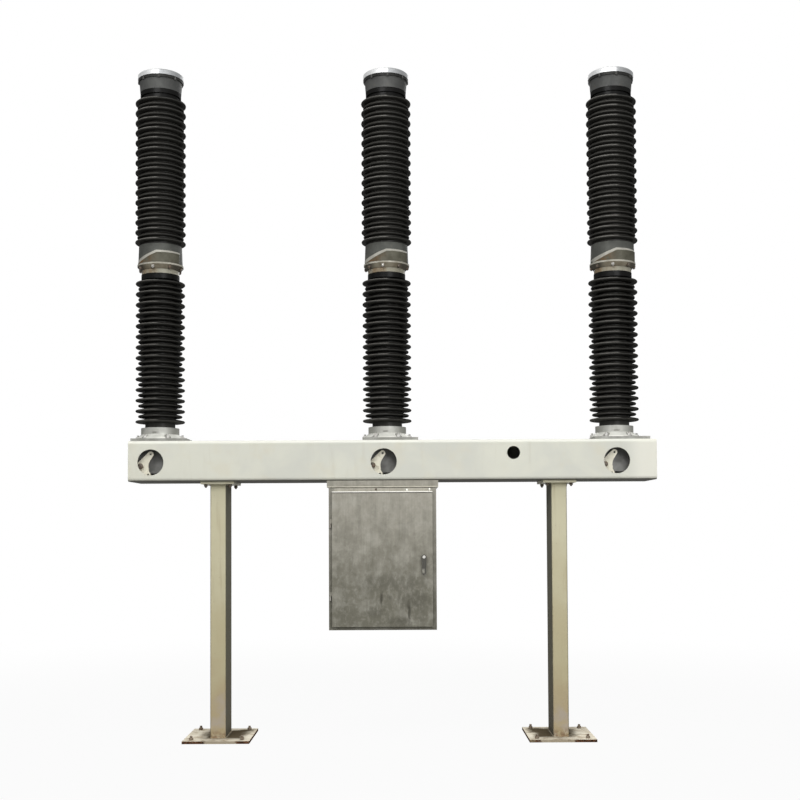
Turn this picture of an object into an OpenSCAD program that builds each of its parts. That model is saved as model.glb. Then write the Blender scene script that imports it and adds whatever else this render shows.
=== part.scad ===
// Gas insulated circuit breaker with three porcelain poles on a beam, two legs and a hanging control cabinet.
// Millimetres. +Z is up, the front faces -Y, and the middle of the overall box stands on the origin.

/* [Poles] */
// Distance between neighbouring pole axes
pole_pitch = 1750; // [1500:10:2000]
// Sideways offset of the middle pole from the beam's middle
pole_row_x = -40; // [-42:1:0]
// Radius of the support insulator's core
support_core_r = 114; // [90:1:125]
// Radius of the support insulator's large sheds
support_shed_r = 187.5; // [175:0.5:195]
// Radius of the support insulator's small sheds
support_small_r = 168; // [150:0.5:175]
// Distance between the support insulator's large sheds
support_pitch = 82; // [74:0.5:90]
// Number of large sheds on the support insulator
support_sheds = 14; // [10:1:18]
// Height of plain core under the support insulator's lowest large shed
support_foot_h = 50; // [40:1:70]
// Height above the support insulator's highest large shed
support_head_h = 66; // [62:1:80]
// Radius of the support insulator's top ring
support_ring_r = 145; // [125:1:160]
// Height of the support insulator's top ring
support_ring_h = 40; // [6:1:44]
// Radius of the interrupter insulator's core
interrupter_core_r = 145; // [120:1:155]
// Radius of the interrupter insulator's large sheds
interrupter_shed_r = 192.5; // [180:0.5:205]
// Radius of the interrupter insulator's small sheds
interrupter_small_r = 177; // [165:0.5:182]
// Distance between the interrupter insulator's large sheds
interrupter_pitch = 77.4; // [72:0.1:84]
// Number of large sheds on the interrupter insulator
interrupter_sheds = 15; // [10:1:18]
// Radius of the interrupter insulator's end rings
interrupter_ring_r = 155; // [150:1:165]
// Height of the interrupter insulator under its lowest large shed
interrupter_foot_h = 30; // [28:1:60]
// Height of the interrupter insulator above its highest large shed
interrupter_head_h = 84; // [60:1:95]
// Height of the ring at the interrupter insulator's foot
interrupter_ring_h = 13; // [8:1:17]
// Height of the ring at the interrupter insulator's head
interrupter_head_ring_h = 34; // [15:1:36]
// Wall of both insulators' porcelain tubes
porcelain_wall = 38; // [25:1:45]
// Thickness of a shed at its rounded tip
shed_tip_t = 16; // [8:0.5:18]
// Rise of a shed's upper face from tip level to the core
shed_rise = 13.5; // [8:0.5:16]
// Drop of a shed's lower face from tip level to the core
shed_drop = 4.5; // [1:0.5:8]

/* [Pole fittings] */
// Reach of the pole's seat plate to the left of its axis
seat_left = 185; // [175:1:190]
// Reach of the pole's seat plate to the right of its axis
seat_right = 235; // [180:1:250]
// Depth of the pole's seat plate from front to rear
seat_d = 400; // [380:2:440]
// Thickness of the pole's seat plate
seat_t = 22; // [12:1:30]
// Radius of the bolted ring on the seat plate
base_ring_r = 184; // [180:1:190]
// Height of the bolted ring's upright edge
base_ring_h = 8; // [4:1:20]
// Radius of the circle on which the ring's bolts stand
base_bolt_r = 172; // [170:1:176]
// Radius of the flat seats sunk into the ring for its bolts
base_spot_r = 24; // [18:1:25]
// Number of bolts through the ring
base_bolts = 6; // [4:1:8]
// Radius of the neck under the support insulator
base_neck_r = 145; // [125:1:155]
// Height of the sloping shoulder between ring and neck
base_shoulder_h = 30; // [20:1:40]
// Height of the neck above its shoulder
base_neck_h = 50; // [40:1:90]
// Radius of the collar on the support insulator
collar_r = 143; // [120:1:150]
// Height of the collar on the support insulator
collar_h = 34; // [28:1:60]
// Radius of the terminal housing's lower lip
lip_r = 175.5; // [170:0.5:185]
// Height of the terminal housing's lower lip
lip_h = 43; // [36:1:55]
// Height of the lip's sloping underside
lip_bevel_h = 30; // [12:1:34]
// Radius of the lip's sloping underside at its foot
lip_foot_r = 148; // [144:1:160]
// Radius of the terminal housing just above its lip
housing_low_r = 169; // [165:0.5:170]
// Radius of the terminal housing at its top
housing_top_r = 163.5; // [159:0.5:165]
// Height of the terminal housing above its lip
housing_h = 147; // [120:1:170]
// Radius that the terminal pad's curved ends follow
pad_r = 177; // [173:0.5:182]
// Distance of the terminal pad's flat face from the pole axis
pad_face = 172; // [170.5:0.5:172.5]
// Radius of the top flange at its foot
flange_foot_r = 156; // [150:1:160]
// Radius of the top flange under its rim
flange_top_r = 163; // [160:1:168]
// Radius of the top flange's rim
flange_rim_r = 172; // [169:1:174]
// Height of the top flange
flange_h = 104; // [80:1:120]
// Height of the top flange's rim
flange_rim_h = 20; // [14:1:45]
// Radius of the top cover
cover_r = 174.5; // [172:0.5:180]
// Height of the top cover
cover_h = 40; // [30:1:60]
// Bevel on the top cover's upper edge
cover_bevel = 9; // [4:0.5:14]

/* [Crank levers] */
// Sideways distance of the crank shaft from its pole axis
shaft_offset = -108; // [-115:1:-80]
// Radius of the crank shaft
shaft_r = 20; // [14:0.5:24]
// Radial running clearance of the crank shaft in its bearing
shaft_clearance = 0.05; // [0.02:0.01:0.1]
// Thickness of the crank lever's plate
lever_t = 20; // [12:1:26]
// Gap between the bearing's front face and the crank lever
lever_gap = 8; // [6:1:12]
// Reach of the crank shaft in front of its lever
shaft_nose = 10; // [6:1:14]
// Reach of the crank case to the left of the shaft
case_left = 57; // [50:1:60]
// Width of the crank case
case_w = 290; // [240:2:300]
// Depth of the crank case from front to rear
case_d = 220; // [180:2:240]
// Reach of the shaft bearing in front of the crank case
bearing_reach = 50; // [30:1:55]
// Wall around the shaft in its bearing
bearing_wall = 18; // [10:0.5:20]
// Gap between the crank case and the edge of the beam's cutout
cutout_gap = 6; // [4:0.5:8]

/* [Beam] */
// Reach of the beam beyond half of the three poles' row at each end
beam_overhang = 234; // [233:1:300]
// Depth of the beam from front to rear
beam_d = 480; // [470:2:540]
// Height of the beam
beam_h = 306; // [290:2:330]
// Sheet thickness of the beam's channels
beam_wall = 8; // [5:0.5:10]
// Outside bend radius of the beam's channels
beam_bend_r = 26; // [18:1:30]
// Thickness of the beam's end plates
beam_end_t = 8; // [5:0.5:12]
// Diameter of the inspection windows
window_d = 196; // [150:1:200]
// Sideways distance of an inspection window from its pole axis
window_offset = -25; // [-35:1:0]
// Depth of the inspection windows' centres below the beam's mid level
window_drop = 10; // [0:1:20]
// Diameter of the small port
port_d = 98; // [60:1:110]
// Sideways distance of the small port from the middle pole
port_x = 949; // [700:1:1200]
// Height of the small port above the beam's mid level
port_rise = 52; // [0:1:70]

/* [Legs] */
// Distance of a leg's centre line from its outer pole's axis
leg_inset = 460; // [300:5:600]
// Sideways distance of the legs' middle from the middle pole
leg_row_x = 9; // [-40:1:40]
// Width of a leg across the front
leg_w = 120; // [90:1:150]
// Depth of a leg from front to rear
leg_d = 300; // [220:2:320]
// Sheet thickness of the legs
leg_wall = 8; // [5:0.5:12]
// Outside corner radius of the legs
leg_corner_r = 14; // [12.5:0.5:20]
// Height of a leg between its two plates
leg_h = 1910; // [1700:1:2200]
// Width of a head plate
head_plate_w = 250; // [200:2:300]
// Depth of a head plate
head_plate_d = 400; // [340:2:420]
// Thickness of a head plate
head_plate_t = 20; // [12:1:30]
// Width of a base plate
base_plate_w = 500; // [440:2:560]
// Depth of a base plate
base_plate_d = 560; // [510:2:590]
// Thickness of a base plate
base_plate_t = 20; // [14:1:30]
// Sideways distance between the anchor holes
anchor_x = 380; // [320:2:400]
// Distance between the anchor holes from front to rear
anchor_y = 440; // [400:2:460]
// Diameter of an anchor hole
anchor_d = 22; // [18:1:36]

/* [Control cabinet] */
// Sideways distance of the cabinet's middle from the middle pole
cabinet_x = -35; // [-60:1:60]
// Width of the cabinet
cabinet_w = 800; // [700:2:900]
// Depth of the cabinet
cabinet_d = 600; // [592:2:640]
// Height of the cabinet
cabinet_h = 1055; // [900:1:1200]
// Sheet thickness of the cabinet
cabinet_wall = 3; // [2:0.5:4]
// Frame strip left of the door
strip_left = 25; // [24.5:0.5:40]
// Frame strip right of the door
strip_right = 29; // [15:0.5:40]
// Frame strip above the door
strip_top = 38; // [30:0.5:60]
// Frame strip below the door
strip_bottom = 26; // [15:0.5:40]
// Reach of the cabinet's front lips behind the door
door_overlap = 18; // [12:0.5:30]
// Reach of the hanger beyond the cabinet at each side
hanger_side = 17.5; // [5:0.5:30]
// Height of the hanger
hanger_h = 51; // [40:1:70]
// Height of the recess between hanger and cabinet
hanger_recess_h = 7; // [4:0.5:12]
// Depth of the recess between hanger and cabinet
hanger_recess = 20; // [10:0.5:40]
// Thickness of the drip strip over the door
drip_t = 7; // [4:0.5:9]
// Reach of the drip strip beyond the door's front face
drip_reach = 4; // [2:0.5:8]

/* [Cabinet door] */
// Gap behind and above the closed door
door_gap = 5; // [5:0.5:7]
// Depth of the door pan
door_t = 22; // [18:0.5:28]
// Sheet thickness of the door pan
door_sheet = 3; // [2:0.5:4]
// Radius of the hinge knuckles
knuckle_r = 8; // [7:0.5:8.5]
// Height of one hinge knuckle
knuckle_h = 32; // [24:1:45]
// Distance of a hinge's middle from the door's upper or lower edge
hinge_inset = 226; // [120:1:300]
// Gap between the two knuckles of a hinge
knuckle_gap = 0.8; // [0.5:0.1:1.5]
// Distance of the hinge axis from the door's edge
hinge_offset = 14; // [14:0.1:15]
// Radius of the hinge pins
hinge_pin_r = 4; // [3:0.1:5]
// Radial running clearance of the hinge pins and the handle's spindle
pin_clearance = 0.05; // [0.02:0.01:0.1]
// Thickness of the hinge leaves
leaf_t = 7; // [5:0.5:9]
// Distance of the handle's pivot from the door's free edge
handle_inset = 65; // [50:1:90]
// Height of the handle's pivot above the door's middle
handle_rise = 20; // [-100:1:100]
// Radius of the handle's hub
handle_r = 17.5; // [14:0.5:22]
// Distance from the handle's pivot to the middle of its rounded end
handle_l = 118; // [90:1:150]
// Radius of the handle's rounded end
handle_end_r = 13; // [8:0.5:14]
// Thickness of the handle's grip
handle_t = 14; // [8:0.5:18]
// Clear height of the handle's grip over its rose
handle_stand = 9; // [6:0.5:14]
// Thickness of the rose under the handle
rose_t = 6; // [3:0.5:9]
// Reach of the rose beyond the handle's hub
rose_edge = 6; // [3:0.5:10]
// Gap between the rose and the handle's hub
rose_gap = 0.5; // [0.3:0.1:1]
// Radius of the handle's spindle
spindle_r = 8; // [5:0.5:10]
// Reach of the spindle behind the door sheet
spindle_tail = 6; // [3:0.5:10]

/* [Hidden] */
$fn = 96;
// Overrun of every cut
cut = 1;
// Steps round a shed's tip
tip_steps = 6;

// Levels
leg_z = base_plate_t;
head_z = leg_z + leg_h;
beam_z = head_z + head_plate_t;
seat_z = beam_z + beam_h;
pole_base_h = seat_t + base_ring_h + base_shoulder_h + base_neck_h;
support_z = seat_z + pole_base_h;
support_h = support_foot_h + (support_sheds - 1) * support_pitch + support_head_h;
collar_z = support_z + support_h;
lip_z = collar_z + collar_h;
interrupter_z = lip_z + lip_h + housing_h;
interrupter_h = interrupter_foot_h + (interrupter_sheds - 1) * interrupter_pitch + interrupter_head_h;
flange_z = interrupter_z + interrupter_h;
cover_z = flange_z + flange_h;

// Beam
beam_l = 2 * (pole_pitch + beam_overhang);
channel_l = beam_l - 2 * beam_end_t;
beam_inner_h = beam_h - 2 * beam_wall;
beam_mid_z = beam_z + beam_h / 2;
window_z = beam_mid_z - window_drop;

// Crank lever, in shares of the beam's inner height
shaft_share = 0.376;
long_arm_share = 0.403;
short_arm_share = 0.291;
long_tip_share = 0.0756;
short_tip_share = 0.0655;
hub_share = 0.123;
lever_eye_share = 0.0273;
lever_bow_share = 0.273;
lever_bow_reach_share = 0.469;
case_share = 0.8;
long_arm = long_arm_share * beam_inner_h;
short_arm = short_arm_share * beam_inner_h;
long_tip_r = long_tip_share * beam_inner_h;
short_tip_r = short_tip_share * beam_inner_h;
hub_r = max(hub_share * beam_inner_h, shaft_r + bearing_wall / 2);
lever_eye_r = lever_eye_share * beam_inner_h;
lever_bow_r = lever_bow_share * beam_inner_h;
lever_bow_x = lever_bow_reach_share * beam_inner_h;
long_angle = 51;
short_angle = -50;
shaft_z = beam_z + beam_wall + shaft_share * beam_inner_h;
case_h = case_share * beam_inner_h + beam_wall;
case_left_x = shaft_offset - case_left;
case_front_y = -case_d / 2;
bearing_y = case_front_y - bearing_reach;
lever_y = bearing_y - lever_gap;

// Cabinet
cabinet_top_z = beam_z - hanger_h - hanger_recess_h;
cabinet_low_z = cabinet_top_z - cabinet_h;
cabinet_mid_x = pole_row_x + cabinet_x;
cabinet_left_x = cabinet_mid_x - cabinet_w / 2;
cabinet_right_x = cabinet_mid_x + cabinet_w / 2;
cabinet_front_y = -cabinet_d / 2;
cabinet_rear_y = cabinet_d / 2;
lip_left = strip_left + door_overlap;
lip_right = strip_right + door_overlap;
lip_top = strip_top + door_overlap;
lip_bottom = strip_bottom + door_overlap;
door_left_x = cabinet_left_x + strip_left;
door_right_x = cabinet_right_x - strip_right;
door_top_z = cabinet_top_z - strip_top;
door_low_z = cabinet_low_z + strip_bottom;
door_rear_y = cabinet_front_y - door_gap;
door_front_y = door_rear_y - door_t;
hinge_x = door_left_x - hinge_offset;
hinge_y = door_rear_y - door_t / 2;
hinge_levels = [door_low_z + hinge_inset, door_top_z - hinge_inset];
handle_x = door_right_x - handle_inset;
handle_z = (door_top_z + door_low_z) / 2 + handle_rise;
rose_front_y = door_front_y - rose_t;
grip_y = rose_front_y - handle_stand;
handle_front_y = grip_y - handle_t;

// The pole plane's place, which puts the overall box's middle on the origin
rear_reach = max(cabinet_rear_y, base_plate_d / 2, beam_d / 2);
pole_plane_y = (-handle_front_y - rear_reach) / 2;

pole_names = ["left", "centre", "right"];
side_names = ["left", "right"];
pole_kinds = ["pole_base", "support_insulator", "support_collar", "terminal_housing",
    "interrupter_insulator", "top_flange", "top_cover", "crank_lever"];
side_kinds = ["base_plate", "leg", "head_plate", "beam_end", "cabinet_side"];

function pole_x(i) = pole_row_x + (i - 1) * pole_pitch;
function side_sign(i) = 2 * i - 1;
function leg_x(i) = pole_row_x + leg_row_x + side_sign(i) * (pole_pitch - leg_inset);
function arm_point(length, angle) = [length * cos(angle), length * sin(angle)];

// A box between two corners
module block(low, high) {
    translate(low)
        cube(high - low);
}

// An outline in X and Z, drawn out towards the front from y by depth
module forward(y, depth) {
    translate([0, y, 0])
        rotate([90, 0, 0])
            linear_extrude(depth)
                children();
}

// An outline in Y and Z, drawn out along X from x by length
module sideways(x, length) {
    translate([x, 0, 0])
        rotate([90, 0, 90])
            linear_extrude(length)
                children();
}

// A rectangle with round corners, its middle on the origin
module round_rectangle(w, h, r) {
    square([w - 2 * r, h], center = true);
    square([w, h - 2 * r], center = true);
    for (x = [-1, 1], y = [-1, 1])
        translate([x * (w / 2 - r), y * (h / 2 - r)])
            circle(r);
}

// Legs and plates
module base_plate(i) {
    color("sienna")
        translate([leg_x(i), 0, 0])
            difference() {
                block([-base_plate_w / 2, -base_plate_d / 2, 0],
                    [base_plate_w / 2, base_plate_d / 2, base_plate_t]);
                for (x = [-1, 1], y = [-1, 1])
                    translate([x * anchor_x / 2, y * anchor_y / 2, -cut])
                        cylinder(h = base_plate_t + 2 * cut, d = anchor_d);
            }
}

module leg(i) {
    color("tan")
        translate([leg_x(i), 0, leg_z])
            linear_extrude(leg_h)
                difference() {
                    round_rectangle(leg_w, leg_d, leg_corner_r);
                    round_rectangle(leg_w - 2 * leg_wall, leg_d - 2 * leg_wall, leg_corner_r - leg_wall);
                }
}

module head_plate(i) {
    color("tan")
        translate([leg_x(i), 0, head_z])
            block([-head_plate_w / 2, -head_plate_d / 2, 0],
                [head_plate_w / 2, head_plate_d / 2, head_plate_t]);
}

// Beam
module channel_bend() {
    intersection() {
        difference() {
            circle(beam_bend_r);
            circle(beam_bend_r - beam_wall);
        }
        translate([-beam_bend_r, -beam_bend_r])
            square(beam_bend_r);
    }
}

module channel_half() {
    translate([0, beam_bend_r])
        square([beam_wall, beam_h / 2 - beam_bend_r]);
    translate([beam_bend_r, 0])
        square([beam_d / 2 - beam_bend_r, beam_wall]);
    translate([beam_bend_r, beam_bend_r])
        channel_bend();
}

// The outline of one folded channel, its web at the front and its toes on the pole plane
module channel_outline() {
    translate([-beam_d / 2, beam_z]) {
        channel_half();
        translate([0, beam_h])
            mirror([0, 1])
                channel_half();
    }
}

module crank_cutouts() {
    for (i = [0 : 2])
        block(
            [pole_x(i) + case_left_x - cutout_gap, bearing_y - cutout_gap, seat_z - beam_wall - cut],
            [pole_x(i) + case_left_x + case_w + cutout_gap, case_d / 2 + cutout_gap, seat_z + cut]);
}

module beam_front_channel() {
    color("gainsboro")
        difference() {
            sideways(-channel_l / 2, channel_l)
                channel_outline();
            crank_cutouts();
            for (i = [0 : 2])
                translate([pole_x(i) + window_offset, -beam_d / 2 + beam_wall + cut, window_z])
                    rotate([90, 0, 0])
                        cylinder(h = beam_wall + 2 * cut, d = window_d);
            translate([pole_row_x + port_x, -beam_d / 2 + beam_wall + cut, beam_mid_z + port_rise])
                rotate([90, 0, 0])
                    cylinder(h = beam_wall + 2 * cut, d = port_d);
        }
}

module beam_rear_channel() {
    color("gainsboro")
        difference() {
            sideways(-channel_l / 2, channel_l)
                mirror([1, 0])
                    channel_outline();
            crank_cutouts();
        }
}

module beam_end(i) {
    color("gainsboro")
        sideways(side_sign(i) * (channel_l + beam_end_t) / 2 - beam_end_t / 2, beam_end_t)
            translate([0, beam_mid_z])
                round_rectangle(beam_d, beam_h, beam_bend_r);
}

// Pole fittings
module pole_base(i) {
    ring_z = seat_t + base_ring_h;
    shoulder_z = ring_z + base_shoulder_h;
    color("silver")
        translate([pole_x(i), 0, 0])
            difference() {
                union() {
                    block([-seat_left, -seat_d / 2, seat_z], [seat_right, seat_d / 2, seat_z + seat_t]);
                    translate([0, 0, seat_z])
                        rotate_extrude()
                            polygon([[0, 0], [base_ring_r, 0], [base_ring_r, ring_z],
                                [base_neck_r, shoulder_z], [base_neck_r, pole_base_h], [0, pole_base_h]]);
                    block([case_left_x, case_front_y, seat_z - case_h],
                        [case_left_x + case_w, case_d / 2, seat_z]);
                    translate([shaft_offset, case_front_y, shaft_z])
                        rotate([90, 0, 0])
                            cylinder(h = bearing_reach, r = shaft_r + bearing_wall);
                }
                translate([shaft_offset, 0, shaft_z])
                    rotate([90, 0, 0])
                        cylinder(h = -bearing_y + cut, r = shaft_r + shaft_clearance);
                for (k = [0 : base_bolts - 1])
                    rotate(k * 360 / base_bolts)
                        translate([base_bolt_r, 0, seat_z + seat_t])
                            cylinder(h = base_ring_h + base_shoulder_h, r = base_spot_r);
            }
}

// Points of a shed's outline from its lower root round the tip to its upper root
function shed_points(core_r, tip_r, z) = concat(
    [[core_r, z - shed_tip_t / 2 - shed_drop]],
    [for (k = [0 : tip_steps]) let (a = 180 * k / tip_steps - 90)
        [tip_r - shed_tip_t / 2 * (1 - cos(a)), z + shed_tip_t / 2 * sin(a)]],
    [[core_r, z + shed_tip_t / 2 + shed_rise]]);

// Large and small sheds in turn, from the lowest up
function shed_stack(core_r, large_r, small_r, low_z, pitch, count) =
    [for (k = [0 : 2 * count - 2]) let (tip_r = k % 2 == 0 ? large_r : small_r)
        each shed_points(core_r, tip_r, low_z + k * pitch / 2)];

module support_insulator(i) {
    bore_r = support_core_r - porcelain_wall;
    ring_z = support_h - support_ring_h;
    color("black")
        translate([pole_x(i), 0, support_z])
            rotate_extrude()
                polygon(concat(
                    [[bore_r, 0], [support_core_r, 0]],
                    shed_stack(support_core_r, support_shed_r, support_small_r, support_foot_h,
                        support_pitch, support_sheds),
                    [[support_core_r, ring_z], [support_ring_r, ring_z], [support_ring_r, support_h],
                        [bore_r, support_h]]));
}

module support_collar(i) {
    color("wheat")
        translate([pole_x(i), 0, collar_z])
            cylinder(h = collar_h, r = collar_r);
}

// Outline of the raised terminal pad, in shares of the lip's radius and of the housing's height
pad_shares = [[-0.9, 0], [0.02, 0.51], [0.9, 0.51], [0.9, 0]];

module terminal_housing(i) {
    color("gray")
        translate([pole_x(i), 0, lip_z]) {
            rotate_extrude()
                polygon([[0, 0], [lip_foot_r, 0], [lip_r, lip_bevel_h], [lip_r, lip_h],
                    [housing_low_r, lip_h], [housing_top_r, lip_h + housing_h], [0, lip_h + housing_h]]);
            translate([0, 0, lip_h])
                intersection() {
                    forward(0, pad_face)
                        polygon([for (p = pad_shares) [p[0] * lip_r, p[1] * housing_h]]);
                    cylinder(h = housing_h, r = pad_r);
                }
        }
}

module interrupter_insulator(i) {
    bore_r = interrupter_core_r - porcelain_wall;
    ring_z = interrupter_h - interrupter_head_ring_h;
    color("black")
        translate([pole_x(i), 0, interrupter_z])
            rotate_extrude()
                polygon(concat(
                    [[bore_r, 0], [interrupter_ring_r, 0], [interrupter_ring_r, interrupter_ring_h],
                        [interrupter_core_r, interrupter_ring_h]],
                    shed_stack(interrupter_core_r, interrupter_shed_r, interrupter_small_r,
                        interrupter_foot_h, interrupter_pitch, interrupter_sheds),
                    [[interrupter_core_r, ring_z], [interrupter_ring_r, ring_z],
                        [interrupter_ring_r, interrupter_h], [bore_r, interrupter_h]]));
}

module top_flange(i) {
    rim_z = flange_h - flange_rim_h;
    color("dimgray")
        translate([pole_x(i), 0, flange_z])
            rotate_extrude()
                polygon([[0, 0], [flange_foot_r, 0], [flange_top_r, rim_z], [flange_rim_r, rim_z],
                    [flange_rim_r, flange_h], [0, flange_h]]);
}

module top_cover(i) {
    color("lightgray")
        translate([pole_x(i), 0, cover_z])
            rotate_extrude()
                polygon([[0, 0], [cover_r, 0], [cover_r, cover_h - cover_bevel],
                    [cover_r - cover_bevel, cover_h], [0, cover_h]]);
}

// Outline of one lever arm from the hub to a round tip
module lever_arm(length, angle, tip_r) {
    rotate(angle) {
        polygon([[0, -hub_r], [length, -tip_r], [length, tip_r], [0, hub_r]]);
        translate([length, 0])
            circle(tip_r);
    }
}

module crank_lever(i) {
    tips = [arm_point(long_arm, long_angle), arm_point(short_arm, short_angle)];
    color("khaki")
        translate([pole_x(i) + shaft_offset, 0, shaft_z]) {
            forward(lever_y, lever_t)
                difference() {
                    union() {
                        circle(hub_r);
                        lever_arm(long_arm, long_angle, long_tip_r);
                        lever_arm(short_arm, short_angle, short_tip_r);
                        difference() {
                            polygon([[0, 0], tips[1], tips[0]]);
                            translate([lever_bow_x, 0])
                                circle(lever_bow_r);
                        }
                    }
                    for (tip = tips)
                        translate(tip)
                            circle(lever_eye_r);
                }
            forward(case_front_y / 2, case_front_y / 2 - lever_y + lever_t + shaft_nose)
                circle(shaft_r);
        }
}

// Control cabinet
module cabinet_hanger() {
    hanger_low_z = beam_z - hanger_h;
    color("lightgray") {
        block([cabinet_left_x - hanger_side, -beam_d / 2, hanger_low_z],
            [cabinet_right_x + hanger_side, beam_d / 2, beam_z]);
        block([cabinet_left_x + hanger_recess, -beam_d / 2 + hanger_recess, cabinet_top_z],
            [cabinet_right_x - hanger_recess, beam_d / 2 - hanger_recess, hanger_low_z]);
    }
}

module cabinet_side(i) {
    lip = i == 0 ? lip_left : lip_right;
    color("lightgray")
        translate([cabinet_mid_x, 0, cabinet_low_z])
            mirror([i, 0, 0])
                translate([-cabinet_w / 2, 0, 0]) {
                    block([0, cabinet_front_y, 0], [cabinet_wall, cabinet_rear_y, cabinet_h]);
                    block([0, cabinet_front_y, 0], [lip, cabinet_front_y + cabinet_wall, cabinet_h]);
                }
}

// A plate between the cabinet's sides with a front lip between their lips
module cabinet_level(plate_z, lip_low_z, lip_high_z) {
    lip_rear_y = cabinet_front_y + cabinet_wall;
    color("lightgray") {
        block([cabinet_left_x + cabinet_wall, lip_rear_y, plate_z],
            [cabinet_right_x - cabinet_wall, cabinet_rear_y, plate_z + cabinet_wall]);
        block([cabinet_left_x + lip_left, cabinet_front_y, lip_low_z],
            [cabinet_right_x - lip_right, lip_rear_y, lip_high_z]);
    }
}

module cabinet_roof() {
    cabinet_level(cabinet_top_z - cabinet_wall, cabinet_top_z - lip_top, cabinet_top_z);
}

module cabinet_floor() {
    cabinet_level(cabinet_low_z, cabinet_low_z, cabinet_low_z + lip_bottom);
}

module cabinet_back() {
    color("lightgray")
        block([cabinet_left_x + cabinet_wall, cabinet_rear_y - cabinet_wall, cabinet_low_z + cabinet_wall],
            [cabinet_right_x - cabinet_wall, cabinet_rear_y, cabinet_top_z - cabinet_wall]);
}

module cabinet_drip_strip() {
    color("lightgray")
        block([door_left_x, door_front_y - drip_reach, door_top_z + door_gap],
            [door_right_x, cabinet_front_y, door_top_z + door_gap + drip_t]);
}

// The fixed halves of both hinges: a knuckle with its pin and a leaf to the cabinet's lip
module cabinet_hinges() {
    color("gray")
        for (z = hinge_levels)
            translate([hinge_x, hinge_y, z]) {
                translate([0, 0, -knuckle_h])
                    cylinder(h = knuckle_h, r = knuckle_r);
                cylinder(h = knuckle_h, r = hinge_pin_r);
                block([-leaf_t / 2, 0, -knuckle_h], [leaf_t / 2, cabinet_front_y - hinge_y, 0]);
            }
}

module cabinet_door() {
    leaf_low = knuckle_gap;
    color("lightgray")
        difference() {
            union() {
                difference() {
                    block([door_left_x, door_front_y, door_low_z], [door_right_x, door_rear_y, door_top_z]);
                    block([door_left_x + door_sheet, door_front_y + door_sheet, door_low_z + door_sheet],
                        [door_right_x - door_sheet, door_rear_y + cut, door_top_z - door_sheet]);
                }
                for (z = hinge_levels)
                    translate([hinge_x, hinge_y, z]) {
                        translate([0, 0, leaf_low])
                            cylinder(h = knuckle_h - leaf_low, r = knuckle_r);
                        block([0, -leaf_t / 2, leaf_low], [hinge_offset, leaf_t / 2, knuckle_h]);
                    }
                translate([handle_x, door_front_y, handle_z])
                    rotate([90, 0, 0])
                        cylinder(h = rose_t, r = handle_r + rose_edge);
            }
            for (z = hinge_levels)
                translate([hinge_x, hinge_y, z])
                    cylinder(h = knuckle_h + cut, r = hinge_pin_r + pin_clearance);
            translate([handle_x, door_front_y + door_sheet + cut, handle_z])
                rotate([90, 0, 0])
                    cylinder(h = rose_t + door_sheet + 2 * cut, r = spindle_r + pin_clearance);
        }
}

module door_handle() {
    hub_y = rose_front_y - rose_gap;
    color("silver")
        translate([handle_x, 0, handle_z]) {
            forward(hub_y, hub_y - handle_front_y)
                circle(handle_r);
            forward(grip_y, handle_t) {
                polygon([[-handle_r, 0], [-handle_end_r, -handle_l],
                    [handle_end_r, -handle_l], [handle_r, 0]]);
                translate([0, -handle_l])
                    circle(handle_end_r);
            }
            forward(door_front_y + door_sheet + spindle_tail, door_sheet + spindle_tail + rose_t + rose_gap)
                circle(spindle_r);
        }
}

translate([0, pole_plane_y, 0]) {
    for (i = [0, 1]) {
        base_plate(i);
        leg(i);
        head_plate(i);
        beam_end(i);
        cabinet_side(i);
    }
    beam_front_channel();
    beam_rear_channel();
    cabinet_hanger();
    cabinet_back();
    cabinet_roof();
    cabinet_floor();
    cabinet_drip_strip();
    cabinet_hinges();
    cabinet_door();
    door_handle();
    for (i = [0 : 2]) {
        pole_base(i);
        support_insulator(i);
        support_collar(i);
        terminal_housing(i);
        interrupter_insulator(i);
        top_flange(i);
        top_cover(i);
        crank_lever(i);
    }
}
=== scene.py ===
"""Looks of a gas insulated circuit breaker with three porcelain poles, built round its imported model."""

import math

import bpy
from mathutils import Matrix, Vector


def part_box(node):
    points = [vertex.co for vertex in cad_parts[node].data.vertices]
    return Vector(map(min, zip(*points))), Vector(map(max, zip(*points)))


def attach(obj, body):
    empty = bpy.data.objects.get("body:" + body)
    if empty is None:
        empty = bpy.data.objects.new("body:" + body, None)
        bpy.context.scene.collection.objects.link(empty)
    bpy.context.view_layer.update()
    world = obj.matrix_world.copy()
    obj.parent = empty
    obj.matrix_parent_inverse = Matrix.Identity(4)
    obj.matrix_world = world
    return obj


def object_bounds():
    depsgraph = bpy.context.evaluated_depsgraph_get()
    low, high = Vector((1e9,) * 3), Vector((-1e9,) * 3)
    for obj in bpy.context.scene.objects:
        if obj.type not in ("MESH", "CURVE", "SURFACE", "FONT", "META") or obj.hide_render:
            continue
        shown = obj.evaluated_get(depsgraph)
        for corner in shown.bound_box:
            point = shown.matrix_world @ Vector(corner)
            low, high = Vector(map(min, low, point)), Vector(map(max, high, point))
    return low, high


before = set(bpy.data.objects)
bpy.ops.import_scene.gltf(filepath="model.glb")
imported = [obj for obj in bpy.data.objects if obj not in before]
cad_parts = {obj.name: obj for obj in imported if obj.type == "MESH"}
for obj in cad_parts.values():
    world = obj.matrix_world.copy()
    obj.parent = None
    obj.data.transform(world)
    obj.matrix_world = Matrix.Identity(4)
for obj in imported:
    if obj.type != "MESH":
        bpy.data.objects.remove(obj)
CAD_LOW, CAD_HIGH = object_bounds()

MM = 0.001
POLES = ("left", "centre", "right")
SIDES = ("left", "right")
UP = Vector((0, 0, 1))
FRONT = Vector((0, -1, 0))


def lengths(*millimetres):
    """Lengths in metres from lengths in millimetres."""
    return tuple(length * MM for length in millimetres)


def middle(node):
    """The middle of a CAD node's box."""
    low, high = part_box(node)
    return (low + high) / 2


# Places that come from the frame

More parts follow.
